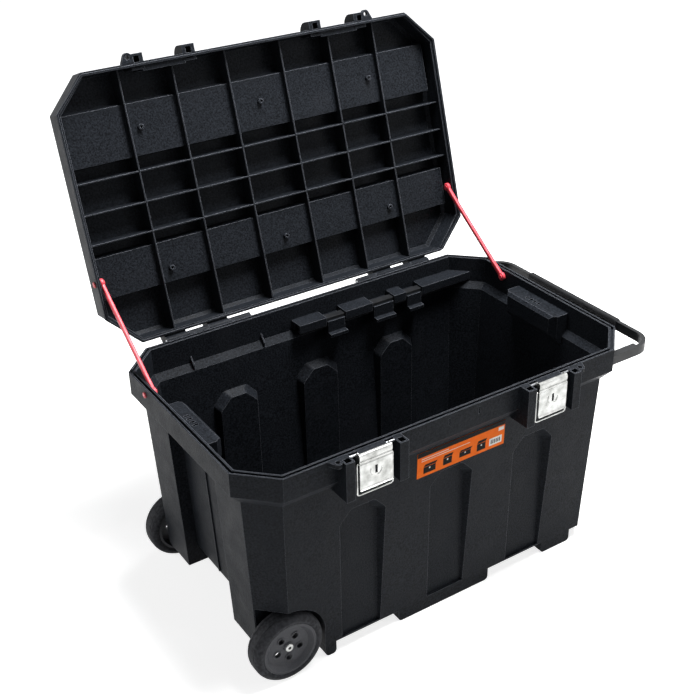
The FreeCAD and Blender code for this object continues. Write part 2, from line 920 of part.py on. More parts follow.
def make_latch_bail():
    # one bent wire: short inward tips, two legs and the bar that hooks over the keeper
    radius = bail_wire / 2
    leg_x = lever_width / 2 + bail_side_gap + radius
    bend = 5.0
    tip_x = lever_width / 2 - bail_tip_in
    y = -bail_pivot_y
    top = bail_pivot_z
    low = bail_pivot_z - bail_length
    corner = bend * (1 - math.sqrt(0.5))
    small = 1.9
    small_corner = small * (1 - math.sqrt(0.5))
    right = [
        Part.LineSegment(Vec(tip_x, y, top), Vec(leg_x - small, y, top)).toShape(),
        Part.Arc(Vec(leg_x - small, y, top), Vec(leg_x - small_corner, y, top - small_corner),
                 Vec(leg_x, y, top - small)).toShape(),
        Part.LineSegment(Vec(leg_x, y, top - small), Vec(leg_x, y, low + bend)).toShape(),
        Part.Arc(Vec(leg_x, y, low + bend), Vec(leg_x - corner, y, low + corner),
                 Vec(leg_x - bend, y, low)).toShape(),
    ]
    bar = Part.LineSegment(Vec(leg_x - bend, y, low), Vec(-leg_x + bend, y, low)).toShape()
    left = [
        Part.Arc(Vec(-leg_x + bend, y, low), Vec(-leg_x + corner, y, low + corner),
                 Vec(-leg_x, y, low + bend)).toShape(),
        Part.LineSegment(Vec(-leg_x, y, low + bend), Vec(-leg_x, y, top - small)).toShape(),
        Part.Arc(Vec(-leg_x, y, top - small), Vec(-leg_x + small_corner, y, top - small_corner),
                 Vec(-leg_x + small, y, top)).toShape(),
        Part.LineSegment(Vec(-leg_x + small, y, top), Vec(-tip_x, y, top)).toShape(),
    ]
    path = Part.Wire(right + [bar] + left)
    section = Part.Wire([Part.makeCircle(radius, Vec(tip_x, y, top), X_AXIS)])
    return path.makePipeShell([section], True, False)


def bent_bar_outline(inset):
    reach = handle_reach - inset
    side = arm_y + arm_width / 2 - inset
    radius = bend_radius - inset
    start = handle_reach - bend_radius - 10
    corner = radius * (1 - math.sqrt(0.5))
    edges = [
        Part.LineSegment(Vec(start, -side, 0), Vec(reach - radius, -side, 0)).toShape(),
        Part.Arc(Vec(reach - radius, -side, 0), Vec(reach - corner, -side + corner, 0),
                 Vec(reach, -side + radius, 0)).toShape(),
        Part.LineSegment(Vec(reach, -side + radius, 0), Vec(reach, side - radius, 0)).toShape(),
        Part.Arc(Vec(reach, side - radius, 0), Vec(reach - corner, side - corner, 0),
                 Vec(reach - radius, side, 0)).toShape(),
        Part.LineSegment(Vec(reach - radius, side, 0), Vec(start, side, 0)).toShape(),
    ]
    return edges, Vec(start, side, 0), Vec(start, -side, 0)


def make_handle_frame():
    low = handle_z - arm_height / 2
    outer, outer_end, outer_start = bent_bar_outline(0)
    inner, inner_end, inner_start = bent_bar_outline(bar_thickness)
    end_cap = Part.LineSegment(outer_end, inner_end).toShape()
    start_cap = Part.LineSegment(inner_start, outer_start).toShape()
    edges = outer + [end_cap] + inner + [start_cap]
    wire = Part.Wire(Part.__sortEdges__(edges))
    bar = Part.Face(wire).extrude(Vec(0, 0, arm_height))
    bar.translate(Vec(0, 0, low))
    arm_end = handle_reach - bend_radius
    arm = box(arm_inner_end, arm_end, arm_y - arm_width / 2, arm_y + arm_width / 2, low, low + arm_height)
    half_y = arm_width / 2 - arm_wall
    half_z = arm_height / 2 - arm_wall
    bore = box(arm_inner_end - 1, arm_end - bend_radius, arm_y - half_y, arm_y + half_y,
               handle_z - half_z, handle_z + half_z)
    return fuse([bar, arm, mirror_y(arm)]).cut(bore).cut(mirror_y(bore))


def make_handle_grip():
    centre = handle_reach - bar_thickness / 2
    low = handle_z - grip_height / 2
    grip = box(centre - grip_width / 2, centre + grip_width / 2, -grip_half_length, grip_half_length,
               low, low + grip_height)
    long_edges = [e for e in grip.Edges if abs(e.Length - 2 * grip_half_length) < 0.01]
    grip = grip.makeFillet(grip_round, long_edges)
    core = box(handle_reach - bar_thickness, handle_reach, -grip_half_length - 1, grip_half_length + 1,
               handle_z - arm_height / 2, handle_z + arm_height / 2)
    return grip.cut(core)


def revolve_about_axle(points):
    # points are (distance from the axle, y)
    outline = [Vec(axle_x + radius, y, axle_z) for radius, y in points]
    return Part.Face(polygon(outline)).revolve(Vec(axle_x, 0, axle_z), Y_AXIS, 360)


def make_tyre():
    # round shoulders, and sides that draw in a little towards the hub
    inner = tyre_inner_y
    outer = wheel_face_y
    points = [(hub_radius, inner + tyre_side_draw)]
    for step in range(tyre_shoulder_steps + 1):
        angle = math.radians(90 * step / tyre_shoulder_steps)
        radius = tyre_radius - tyre_shoulder * (1 - math.sin(angle))
        points.append((radius, inner + tyre_shoulder * (1 - math.cos(angle))))
    points += [(radius, outer - (y - inner)) for radius, y in reversed(points)]
    return revolve_about_axle(points)


def hub_hole_places():
    places = []
    for index in range(hub_hole_count):
        angle = math.radians(hub_hole_start + index * 360 / hub_hole_count)
        out = Vec(math.cos(angle), 0, math.sin(angle))
        places.append(Vec(axle_x, 0, axle_z) + out * hub_hole_circle)
    return places


def make_hub():
    bore = axle_radius + bearing_clearance
    outer = wheel_face_y - hub_face_inset
    inner = tyre_inner_y + hub_face_inset
    web_out = hub_web_y
    web_in = web_out - hub_web
    rim_in = hub_radius - hub_rim_wall
    boss_in = spacer_end()
    boss_out = web_out + hub_boss_height
    points = [
        (bore, boss_in + running_gap),
        (hub_boss_radius, boss_in + running_gap),
        (hub_boss_radius, web_in),
        (rim_in, web_in),
        (rim_in, inner),
        (hub_radius, inner),
        (hub_radius, outer),
        (rim_in, outer),
        (rim_in - hub_rim_slope, web_out),
        (hub_boss_radius, web_out),
        (hub_boss_radius, boss_out),
        (bore, boss_out),
    ]
    hub = revolve_about_axle(points)
    ring_radius = hub_hole_radius + hub_hole_ring
    for place in hub_hole_places():
        hub = hub.fuse(rod(ring_radius, place + Y_AXIS * (web_out - 1), Y_AXIS, hub_hole_ring_height + 1))
    for place in hub_hole_places():
        hub = hub.cut(rod(hub_hole_radius, place + Y_AXIS * tyre_inner_y, Y_AXIS, tyre_width))
    return hub


def spacer_end():
    return tyre_inner_y - 2


def make_spacer():
    ring = rod(spacer_radius, Vec(axle_x, well_y, axle_z), Y_AXIS, spacer_end() - well_y)
    return ring.cut(rod(axle_radius, Vec(axle_x, well_y - 1, axle_z), Y_AXIS, tyre_width))


def make_axle():
    return rod(axle_radius, Vec(axle_x, -axle_half_length, axle_z), Y_AXIS, 2 * axle_half_length)


def make_axle_cap():
    cap = rod(cap_radius, Vec(axle_x, cap_y, axle_z), Y_AXIS, cap_length)
    crown = [e for e in cap.Edges if abs(e.CenterOfMass.y - cap_y - cap_length) < 0.01]
    cap = cap.makeFillet(cap_crown, crown)
    return cap.cut(make_axle())


def stay_points():
    low = Vec(stay_plane_x, stay_low_y, stay_low_z)
    high = open_point(stay_high_closed(stay_plane_x))
    return low, high


def make_stay_strap():
    low, high = stay_points()
    run = high.sub(low)
    strap = Part.makeBox(stay_thickness, run.Length, stay_width)
    strap = strap.makeFillet(stay_round, [e for e in strap.Edges if is_lengthwise(e)])
    strap.translate(Vec(0, 0, -stay_width / 2))
    strap.rotate(Vec(0, 0, 0), X_AXIS, math.degrees(math.atan2(run.z, run.y)))
    strap.translate(low)
    eyes = [rod(stay_eye_radius, place, X_AXIS, stay_thickness) for place in (low, high)]
    hole_radius = stay_pin_radius + bearing_clearance
    holes = [rod(hole_radius, place - X_AXIS, X_AXIS, stay_thickness + 2) for place in (low, high)]
    return fuse([strap] + eyes).cut(holes[0]).cut(holes[1])


def make_stay_pin(place, outside_x):
    # a shank through the wall with a domed head outside and a small keeper head inside the eye
    shank = rod(stay_pin_radius, place, X_AXIS, outside_x - place.x)
    head = rod(stay_head_radius, Vec(outside_x, place.y, place.z), X_AXIS, stay_head_height)
    crown = [e for e in head.Edges if abs(e.CenterOfMass.x - outside_x - stay_head_height) < 0.01]
    head = head.makeFillet(1.5, crown)
    stop = rod(stay_head_radius - 1, place - X_AXIS * 2, X_AXIS, 2)
    return fuse([shank, head, stop])


def make_parts():
    parts = {}
    parts["chest_shell"] = make_chest_shell()
    parts["front_label"] = make_label()
    parts["lid_shell"] = open_lid(make_lid_closed())

    parts["hinge_pin_right"], parts["hinge_pin_left"] = hinge_rods(hinge_pin_radius, 0)

    for side, x in (("right", latch_x), ("left", -latch_x)):
        parts["latch_lever_" + side] = moved(make_latch_lever(), x=x)
        parts["latch_bail_" + side] = moved(make_latch_bail(), x=x)
        parts["latch_pin_" + side] = moved(make_latch_pin(), x=x)

    parts["handle_frame"] = make_handle_frame()
    parts["handle_grip"] = make_handle_grip()

    parts["axle"] = make_axle()
    wheel_parts = {
        "tyre": make_tyre(),
        "hub": make_hub(),
        "wheel_spacer": make_spacer(),
        "axle_cap": make_axle_cap(),
    }
    for name, shape in wheel_parts.items():
        parts[name + "_back"] = shape
        parts[name + "_front"] = mirror_y(shape)

    low, high = stay_points()
    stay_parts = {
        "stay_strap": make_stay_strap(),
        "stay_pin_low": make_stay_pin(low, half_length),
        "stay_pin_high": make_stay_pin(high, lid_half_length),
    }
    for name, shape in stay_parts.items():
        parts[name + "_right"] = shape
        parts[name + "_left"] = mirror_x(shape)
    return parts


def centred(parts):
    # the frame's origin is the middle of the whole object's footprint, on the floor
    extent = Part.makeCompound(list(parts.values())).BoundBox
    shift_x = round(extent.Center.x, 2)
    shift_y = round(extent.Center.y, 2)
    print("frame shift", shift_x, shift_y)
    return {name: moved(shape, x=-shift_x, y=-shift_y) for name, shape in parts.items()}


def main():
    os.makedirs("parts", exist_ok=True)
    for name, shape in centred(make_parts()).items():
        shape.exportStep("parts/" + name + ".step")
        box_size = shape.BoundBox
        print(name, len(shape.Solids), shape.isValid(), round(shape.Volume),
              [round(v, 1) for v in (box_size.XMin, box_size.XMax, box_size.YMin, box_size.YMax,
                                     box_size.ZMin, box_size.ZMax)])


main()
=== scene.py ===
# %% [markdown]
# # A wheeled jobsite storage box
#
# The box is a tub of black polypropylene with a ribbed lid, two draw latches, two red lid stays, a pull
# handle and two wheels. The solid model is loaded first and stays where it is. Each step then either gives
# a solid its finish or stands a finer piece in its place.

import math

import bmesh
import bpy
from mathutils import Matrix, Vector


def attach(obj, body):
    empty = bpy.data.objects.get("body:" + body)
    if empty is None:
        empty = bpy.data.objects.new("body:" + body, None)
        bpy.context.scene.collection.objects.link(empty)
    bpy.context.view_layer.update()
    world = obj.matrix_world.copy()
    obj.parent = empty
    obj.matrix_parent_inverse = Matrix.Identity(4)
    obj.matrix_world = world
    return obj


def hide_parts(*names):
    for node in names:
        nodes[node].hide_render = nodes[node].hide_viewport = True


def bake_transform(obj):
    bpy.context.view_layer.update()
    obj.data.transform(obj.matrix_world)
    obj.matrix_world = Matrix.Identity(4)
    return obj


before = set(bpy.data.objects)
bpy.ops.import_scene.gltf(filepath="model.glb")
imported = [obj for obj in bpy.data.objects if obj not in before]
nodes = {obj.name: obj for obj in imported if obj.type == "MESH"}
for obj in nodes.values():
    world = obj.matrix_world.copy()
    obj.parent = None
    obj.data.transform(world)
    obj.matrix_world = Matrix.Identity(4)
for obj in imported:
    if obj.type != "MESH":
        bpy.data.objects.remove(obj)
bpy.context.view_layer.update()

# %% [markdown]
# ## Where things are
#
# The model's origin is the middle of the whole footprint on the floor. The handle reaches out at one end
# and the open lid at the back, so that isn't the middle of the tub. The tub is easier to think about from
# its own middle, in millimetres, so one function turns such a place into the model's metres.

# %% One function for places
MM_PER_METRE = 1000.0
TUB_MIDDLE = Vector((-0.04375, -0.10555, 0.0))


def place(x, y, z):
    return Vector((x / MM_PER_METRE, y / MM_PER_METRE, z / MM_PER_METRE)) + TUB_MIDDLE


print("the middle of the tub stands at", [round(v, 3) for v in place(0, 0, 0)])

# %% [markdown]
# ## Camera
#
# The box is seen from in front of its wheel end and from above. A long lens keeps the sides nearly
# parallel. The camera's three axes are worked out from two angles and a slight roll, and put together as
# one matrix, so that nothing has to be aimed by hand.

# %% Camera
SENSOR_WIDTH, LENS = 36.0, 60.32
AZIMUTH, ELEVATION, ROLL = -0.572, 0.520, -0.021
CAMERA_PLACE = place(-1228.1, -1796.4, 1763.0)

scene = bpy.context.scene
camera_data = bpy.data.cameras.new("camera")
camera_data.sensor_width = SENSOR_WIDTH
camera_data.lens = LENS
camera_data.clip_end = 50.0
camera = bpy.data.objects.new("camera", camera_data)
scene.collection.objects.link(camera)
back = Vector((math.sin(AZIMUTH) * math.cos(ELEVATION), -math.cos(AZIMUTH) * math.cos(ELEVATION),
               math.sin(ELEVATION)))
right = (-back).cross(Vector((0, 0, 1))).normalized()
up = right.cross(-back)
turned_right = right * math.cos(ROLL) + up * math.sin(ROLL)
turned_up = up * math.cos(ROLL) - right * math.sin(ROLL)
axes = Matrix((turned_right, turned_up, back)).transposed().to_4x4()
camera.matrix_world = Matrix.Translation(CAMERA_PLACE) @ axes
bpy.context.scene.camera = camera
print("camera at", [round(v, 3) for v in camera.matrix_world.translation])

# %% [markdown]
# ## Nodes and colours
#
# Every finish, the floor and the world are small trees of nodes. One function adds a node of any kind: a
# setting that names an input sets that input, any other is a property of the node, and links come from the
# sockets of nodes that are there already. Colours are written as people see them, and turned to the linear
# light that the renderer works in.

# %% A function that adds a node, and one for colours
def add_node(tree, kind, settings=None, links=None):
    node = tree.nodes.new(kind)
    for name, value in (settings or {}).items():
        if isinstance(name, int) or name in node.inputs:
            node.inputs[name].default_value = value
        else:
            setattr(node, name, value)
    for name, socket in (links or {}).items():
        tree.links.new(socket, node.inputs[name])
    return node


def linear(hex_colour):
    channels = [int(hex_colour[i:i + 2], 16) / 255 for i in (1, 3, 5)]
    return [c / 12.92 if c <= 0.04045 else ((c + 0.055) / 1.055) ** 2.4 for c in channels] + [1.0]


print("mid grey is", round(linear("#808080")[0], 3), "in linear light")

# %% [markdown]
# ## World
#
# The backdrop is white. Where the camera, a reflection or a ray through glass meets the world, it is white
# at full strength. As a light it is only a dim grey, because light from all round would flatten the black
# plastic.

# %% World
WORLD_FILL = 0.02


def seen_directly(tree):
    path = add_node(tree, "ShaderNodeLightPath")
    seen = add_node(tree, "ShaderNodeMath", {"operation": "MAXIMUM"},
                    {0: path.outputs["Is Camera Ray"], 1: path.outputs["Is Glossy Ray"]})
    return add_node(tree, "ShaderNodeMath", {"operation": "MAXIMUM"},
                    {0: seen.outputs[0], 1: path.outputs["Is Transmission Ray"]}).outputs[0]


scene.view_settings.view_transform = "Standard"
world = bpy.data.worlds.new("studio")
world.use_nodes = True
scene.world = world
tree = world.node_tree
tree.nodes.clear()
fill = add_node(tree, "ShaderNodeBackground", {"Color": linear("#E9EDF2"), "Strength": WORLD_FILL})
white = add_node(tree, "ShaderNodeBackground", {"Color": (1, 1, 1, 1), "Strength": 1.0})
both = add_node(tree, "ShaderNodeMixShader", {},
                {0: seen_directly(tree), 1: fill.outputs[0], 2: white.outputs[0]})
add_node(tree, "ShaderNodeOutputWorld", {}, {"Surface": both.outputs[0]})
print("world nodes:", len(tree.nodes))

# %% [markdown]
# ## Lamps
#
# Black plastic shows its form only through soft light from one side. Two lamps hang above, one over the
# front and one over the open tub, and weaker ones stand in front and at the wheel end. All of them are wide
# soft boxes, turned towards one point in the middle of the object.

# %% Lamps
LAMP_AIM = Vector((0, 0, 0.35))
LAMPS = {    # place in metres, width and height in metres, watts
    "overhead_softbox": ((0.6, -0.6, 3.2), (0.8, 0.8), 105),
    "inside_softbox": ((0.3, 0.1, 3.2), (0.8, 0.8), 110),
    "front_softbox": ((2.5, -2.5, 1.4), (1.6, 1.4), 20),
    "left_softbox": ((-3.0, 0.9, 1.5), (1.6, 1.6), 22),
}
for name, (where, size, watts) in LAMPS.items():
    data = bpy.data.lights.new(name, "AREA")
    data.shape = "RECTANGLE"
    data.size, data.size_y = size
    data.energy = watts
    lamp = bpy.data.objects.new(name, data)
    scene.collection.objects.link(lamp)
    aim = (LAMP_AIM - Vector(where)).to_track_quat("-Z", "Y")
    lamp.matrix_world = Matrix.Translation(Vector(where)) @ aim.to_matrix().to_4x4()

# %% [markdown]
# ## Floor
#
# The floor has to look white and still take a soft shadow. Near the box the paper glows a little less than
# white, so that the lamps' light, and its absence, still shows there. Further out it is fully white. The
# glow is for the eye alone, so that it sends no light up under the box.

# %% Floor
FLOOR_HALF = 12.0
NEAR_DISTANCE, FAR_DISTANCE = 0.6, 1.5
NEAR_GLOW = 0.80

floor_shape = bmesh.new()
bmesh.ops.create_grid(floor_shape, x_segments=1, y_segments=1, size=FLOOR_HALF)
floor_mesh = bpy.data.meshes.new("floor")
floor_shape.to_mesh(floor_mesh)
floor_shape.free()
floor = bpy.data.objects.new("floor", floor_mesh)
scene.collection.objects.link(floor)

paper = bpy.data.materials.new("white paper sweep")
paper.use_nodes = True
tree = paper.node_tree
tree.nodes.clear()
position = add_node(tree, "ShaderNodeTexCoord").outputs["Object"]
distance = add_node(tree, "ShaderNodeVectorMath", {"operation": "LENGTH"}, {0: position}).outputs["Value"]
glow_level = add_node(tree, "ShaderNodeMapRange",
                      {"From Min": NEAR_DISTANCE, "From Max": FAR_DISTANCE, "To Min": NEAR_GLOW},
                      {"Value": distance}).outputs["Result"]
matt = add_node(tree, "ShaderNodeBsdfDiffuse", {"Color": linear("#D8D8D8")})
glow = add_node(tree, "ShaderNodeEmission", {"Color": (1, 1, 1, 1)}, {"Strength": glow_level})
lit = add_node(tree, "ShaderNodeAddShader", {}, {0: matt.outputs[0], 1: glow.outputs[0]})
both = add_node(tree, "ShaderNodeMixShader", {},
                {0: seen_directly(tree), 1: matt.outputs[0], 2: lit.outputs[0]})
add_node(tree, "ShaderNodeOutputMaterial", {}, {"Surface": both.outputs[0]})
floor_mesh.materials.append(paper)
print("floor is", round(floor.dimensions.x, 1), "m wide")

# %% [markdown]
# ## Finishes
#
# Real surfaces are never one flat colour. Most of what the eye reads as a material is made of soft patches,
# in which the colour or the roughness wanders, and of a fine relief. A noise gives both. Its size is worked
# out from a real size in millimetres, and its middle values are spread over the wanted range.

# %% Helpers that all finishes share
NOISE_SPAN = {"From Min": 0.3, "From Max": 0.7}    # nearly all of a noise lies between these
MIX_FIRST, MIX_SECOND, MIX_RESULT = 6, 7, 2        # the colour sockets of a Mix node


def new_finish(name, settings):
    finish = bpy.data.materials.new(name)
    finish.use_nodes = True
    tree = finish.node_tree
    tree.nodes.clear()
    position = add_node(tree, "ShaderNodeTexCoord").outputs["Object"]
    shader = add_node(tree, "ShaderNodeBsdfPrincipled", settings)
    add_node(tree, "ShaderNodeOutputMaterial", {}, {"Surface": shader.outputs[0]})
    return finish, tree, position, shader


def dress(tree, shader, colour, roughness, normal):
    for name, socket in (("Base Color", colour), ("Roughness", roughness), ("Normal", normal)):
        tree.links.new(socket, shader.inputs[name])


def patches(tree, position, size_mm, detail, low, high):
    # soft patches of a real size, whose value wanders between low and high
    pattern = add_node(tree, "ShaderNodeTexNoise", {"Scale": MM_PER_METRE / size_mm, "Detail": detail},
                       {"Vector": position})
    return add_node(tree, "ShaderNodeMapRange", {**NOISE_SPAN, "To Min": low, "To Max": high},
                    {"Value": pattern.outputs["Fac"]}).outputs["Result"]


def two_tone(tree, position, size_mm, detail, dark, light):
    # a colour that wanders between two in soft patches
    share = patches(tree, position, size_mm, detail, low=0.0, high=1.0)
    colours = {MIX_FIRST: linear(dark), MIX_SECOND: linear(light)}
    return add_node(tree, "ShaderNodeMix", {"data_type": "RGBA", **colours}, {0: share}).outputs[MIX_RESULT]


print("patches of 40 mm have the scale", MM_PER_METRE / 40)

# %% [markdown]
# ### Painted edge highlights
#
# Moulded edges are never sharp. A Bevel node rounds them for the light, so that each edge carries a thin
# line, while the solid keeps its shape. The same node tells where the outer edges are: there the rounded
# normal leaves the flat one, and nothing stands close in front, which sets them apart from inner corners.
# There a light grey is painted into the colour: a painted highlight along each outer edge.

# %% Where the outer edges are
HIGHLIGHT_FROM, HIGHLIGHT_TO = 0.97, 0.84      # how far the two normals agree, from no painted highlight to full painted highlight
COVERED, OPEN = 0.80, 0.98               # how open the air in front is, from an inner corner to an outer edge
REACH_MM = 5.0


# a mask of the outer edges, where the colour gets a painted highlight
def painted_edge_highlight(tree, rounded):
    flat = add_node(tree, "ShaderNodeNewGeometry")
    agree = add_node(tree, "ShaderNodeVectorMath", {"operation": "DOT_PRODUCT"},
                     {0: rounded, 1: flat.outputs["True Normal"]})
    edge = add_node(tree, "ShaderNodeMapRange", {"From Min": HIGHLIGHT_FROM, "From Max": HIGHLIGHT_TO},
                    {"Value": agree.outputs["Value"]})
    air = add_node(tree, "ShaderNodeAmbientOcclusion", {"samples": 4, "Distance": REACH_MM / MM_PER_METRE})
    clear = add_node(tree, "ShaderNodeMapRange", {"From Min": COVERED, "From Max": OPEN},
                     {"Value": air.outputs["AO"]})
    return add_node(tree, "ShaderNodeMath", {"operation": "MULTIPLY"},
                    {0: edge.outputs["Result"], 1: clear.outputs["Result"]}).outputs[0]


print("inner corners are looked for within", REACH_MM, "mm")

# %% [markdown]
# ### Moulded plastics and rubbers
#
# Almost everything here is one moulded plastic, so its finish matters most. A mould is spark eroded to a
# fine grain, which spreads the light and hides scratches. The grain is finer than a pixel, so it is drawn
# a few times coarser than it is. The black is not even: it is clouded where the melt flowed, speckled by
# the grain, and a little greyer where the shiny grain has been rubbed. Outer edges carry a painted
# highlight: thin grey lines, which make the ribs readable. Tyres and grips are rubber, with the same
# recipe, more roughness and a coarser or finer grain.

# %% Moulded plastics and rubbers
CLOUD_MM = 120.0
HANDLED_MM = 40.0


def moulded(name, dark, light, rubbed, roughness, gloss, grain_mm, grain_height, edge_mm, edge_highlight_colour=None):
    finish, tree, position, shader = new_finish(name, {"IOR": 1.49, "Specular IOR Level": gloss})
    grain = add_node(tree, "ShaderNodeTexNoise", {"Scale": MM_PER_METRE / grain_mm, "Detail": 1.0},
                     {"Vector": position}).outputs["Fac"]
    speckle = add_node(tree, "ShaderNodeMapRange", NOISE_SPAN, {"Value": grain})
    ground = add_node(tree, "ShaderNodeMix",
                      {"data_type": "RGBA", MIX_FIRST: linear(dark), MIX_SECOND: linear(light)},
                      {0: speckle.outputs["Result"]})
    cloud = add_node(tree, "ShaderNodeTexNoise", {"Scale": MM_PER_METRE / CLOUD_MM, "Detail": 3.0},
                     {"Vector": position})
    worn = add_node(tree, "ShaderNodeMapRange", {"From Min": 0.56, "From Max": 0.78, "To Max": 0.5},
                    {"Value": cloud.outputs["Fac"]})
    colour = add_node(tree, "ShaderNodeMix", {"data_type": "RGBA", MIX_SECOND: linear(rubbed)},
                      {0: worn.outputs["Result"], MIX_FIRST: ground.outputs[MIX_RESULT]})
    bevel = add_node(tree, "ShaderNodeBevel", {"samples": 4, "Radius": edge_mm / MM_PER_METRE})
    rounded = bevel.outputs["Normal"]
    # outer edges are mixed towards a light grey: a painted highlight
    if edge_highlight_colour:
        colour = add_node(tree, "ShaderNodeMix", {"data_type": "RGBA", MIX_SECOND: linear(edge_highlight_colour)},
                          {0: painted_edge_highlight(tree, rounded), MIX_FIRST: colour.outputs[MIX_RESULT]})
    relief = add_node(tree, "ShaderNodeBump", {"Strength": 1.0, "Distance": grain_height / MM_PER_METRE},
                      {"Height": grain, "Normal": rounded})
    handled = patches(tree, position, HANDLED_MM, detail=4.0, low=roughness - 0.05, high=roughness + 0.07)
    dress(tree, shader, colour.outputs[MIX_RESULT], handled, relief.outputs["Normal"])
    return finish


# the edge colours of these two plastics are painted highlights on their outer edges
black_plastic = moulded("moulded black polypropylene", dark="#0D0F12", light="#22252A", rubbed="#24262A",
                        roughness=0.46, gloss=0.055, grain_mm=3.8, grain_height=0.5, edge_mm=1.8,
                        edge_highlight_colour="#6C6F76")
hub_plastic = moulded("moulded grey polypropylene", dark="#3C3D41", light="#45464B", rubbed="#4A4B50",
                      roughness=0.46, gloss=0.25, grain_mm=2.5, grain_height=0.10, edge_mm=1.0,
                      edge_highlight_colour="#6A6B70")
nylon = moulded("moulded black nylon", dark="#17181A", light="#1E1F22", rubbed="#222326",
                roughness=0.42, gloss=0.2, grain_mm=2.0, grain_height=0.05, edge_mm=0.6)
tyre_rubber = moulded("matt tyre rubber", dark="#1E1F22", light="#3A3B3F", rubbed="#3C3D41",
                      roughness=0.60, gloss=0.12, grain_mm=7.0, grain_height=0.80, edge_mm=0.8)
grip_rubber = moulded("soft grip rubber", dark="#131416", light="#1C1D1F", rubbed="#202124",
                      roughness=0.55, gloss=0.2, grain_mm=2.0, grain_height=0.10, edge_mm=0.5)
print("moulded finishes:", [m.name for m in (black_plastic, hub_plastic, nylon, tyre_rubber, grip_rubber)])

# %% [markdown]
# ### Metals
#
# The latches are stamped from steel sheet and zinc plated: bright, with a faint warm tarnish in patches and
# fine rolling marks along the strip. The marks are a noise that is stretched along the strip. The pins are
# plain drawn steel.

# %% Metals
STRETCH_ALONG = (0.12, 1.0, 1.0)


def relief_on_edges(tree, height, height_mm, edge_mm):
    # bumps of a real height, on edges that are rounded for the light
    rounded = add_node(tree, "ShaderNodeBevel", {"samples": 4, "Radius": edge_mm / MM_PER_METRE})
    return add_node(tree, "ShaderNodeBump", {"Strength": 1.0, "Distance": height_mm / MM_PER_METRE},
                    {"Height": height, "Normal": rounded.outputs["Normal"]}).outputs["Normal"]


def rolled_metal(name, dark, light, roughness, streak_mm, edge_mm):
    finish, tree, position, shader = new_finish(name, {"Metallic": 1.0})
    stretched = add_node(tree, "ShaderNodeMapping", {"Scale": STRETCH_ALONG}, {"Vector": position})
    streaks = add_node(tree, "ShaderNodeTexNoise", {"Scale": MM_PER_METRE / streak_mm, "Detail": 3.0},
                       {"Vector": stretched.outputs["Vector"]}).outputs["Fac"]
    tarnish = two_tone(tree, position, size_mm=18, detail=4.0, dark=dark, light=light)
    sheen = add_node(tree, "ShaderNodeMapRange",
                     {**NOISE_SPAN, "To Min": roughness - 0.08, "To Max": roughness + 0.10},
                     {"Value": streaks})
    relief = relief_on_edges(tree, streaks, height_mm=0.04, edge_mm=edge_mm)
    dress(tree, shader, tarnish, sheen.outputs["Result"], relief)
    return finish


zinc = rolled_metal("bright zinc plate", "#8F908D", "#C6C7C5", roughness=0.34, streak_mm=2.0, edge_mm=0.5)
drawn_steel = rolled_metal("drawn steel", "#8D8F93", "#A5A7AA", roughness=0.34, streak_mm=2.0, edge_mm=0.4)
print("metals:", zinc.name, "and", drawn_steel.name)

# %% [markdown]
# ### Black paint
#
# The handle and the axle have black paint with a soft gloss. Sprayed paint is not flat: it has a fine orange
# peel, which breaks the reflections up, under a thin clear skin.

# %% Black paint
PEEL_MM = 5.0

black_paint, tree, position, shader = new_finish(
    "black sprayed paint", {"Specular IOR Level": 0.25, "Coat Weight": 0.08, "Coat Roughness": 0.22})
colour = two_tone(tree, position, size_mm=60, detail=2.0, dark="#141517", light="#1B1C1E")
sheen = patches(tree, position, size_mm=20, detail=4.0, low=0.36, high=0.52)
peel = add_node(tree, "ShaderNodeTexNoise", {"Scale": MM_PER_METRE / PEEL_MM, "Detail": 2.0},
                {"Vector": position})
dress(tree, shader, colour, sheen, relief_on_edges(tree, peel.outputs["Fac"], height_mm=0.06, edge_mm=0.8))
print("paint:", black_paint.name)

# %% [markdown]
# ### Coral plastic
#
# The lid stays are a soft coral red plastic that lets a little light in, which the subsurface of the shader
# gives. That is why their red stays warm on the side away from the lamps.

# %% Coral plastic
LIGHT_REACH_MM = 3.0
SKIN_MM = 3.0

coral_plastic, tree, position, shader = new_finish(
    "soft coral red plastic",
    {"Specular IOR Level": 0.4, "Subsurface Weight": 0.15, "Subsurface Scale": LIGHT_REACH_MM / MM_PER_METRE})
colour = two_tone(tree, position, size_mm=22, detail=3.0, dark="#C93A46", light="#E0505C")
sheen = patches(tree, position, size_mm=9, detail=3.0, low=0.36, high=0.52)
skin = add_node(tree, "ShaderNodeTexNoise", {"Scale": MM_PER_METRE / SKIN_MM, "Detail": 2.0},
                {"Vector": position})
dress(tree, shader, colour, sheen, relief_on_edges(tree, skin.outputs["Fac"], height_mm=0.05, edge_mm=0.8))
print("plastic:", coral_plastic.name)

# %% [markdown]
# ### Label inks
#
# The label is a smooth printed film. Its inks take on the film's surface, which is not quite flat, and they
# are nearly even in colour, as print is.

# %% Label inks
WAVE_MM, WAVE_HEIGHT_MM = 25.0, 0.08


def printed_film(name, dark, light):
    finish, tree, position, shader = new_finish(name, {"Specular IOR Level": 0.04})
    colour = two_tone(tree, position, size_mm=14, detail=3.0, dark=dark, light=light)
    sheen = patches(tree, position, size_mm=30, detail=3.0, low=0.26, high=0.38)
    waves = add_node(tree, "ShaderNodeTexNoise", {"Scale": MM_PER_METRE / WAVE_MM, "Detail": 2.0},
                     {"Vector": position})
    relief = add_node(tree, "ShaderNodeBump", {"Strength": 1.0, "Distance": WAVE_HEIGHT_MM / MM_PER_METRE},
                      {"Height": waves.outputs["Fac"]})
    dress(tree, shader, colour, sheen, relief.outputs["Normal"])
    return finish


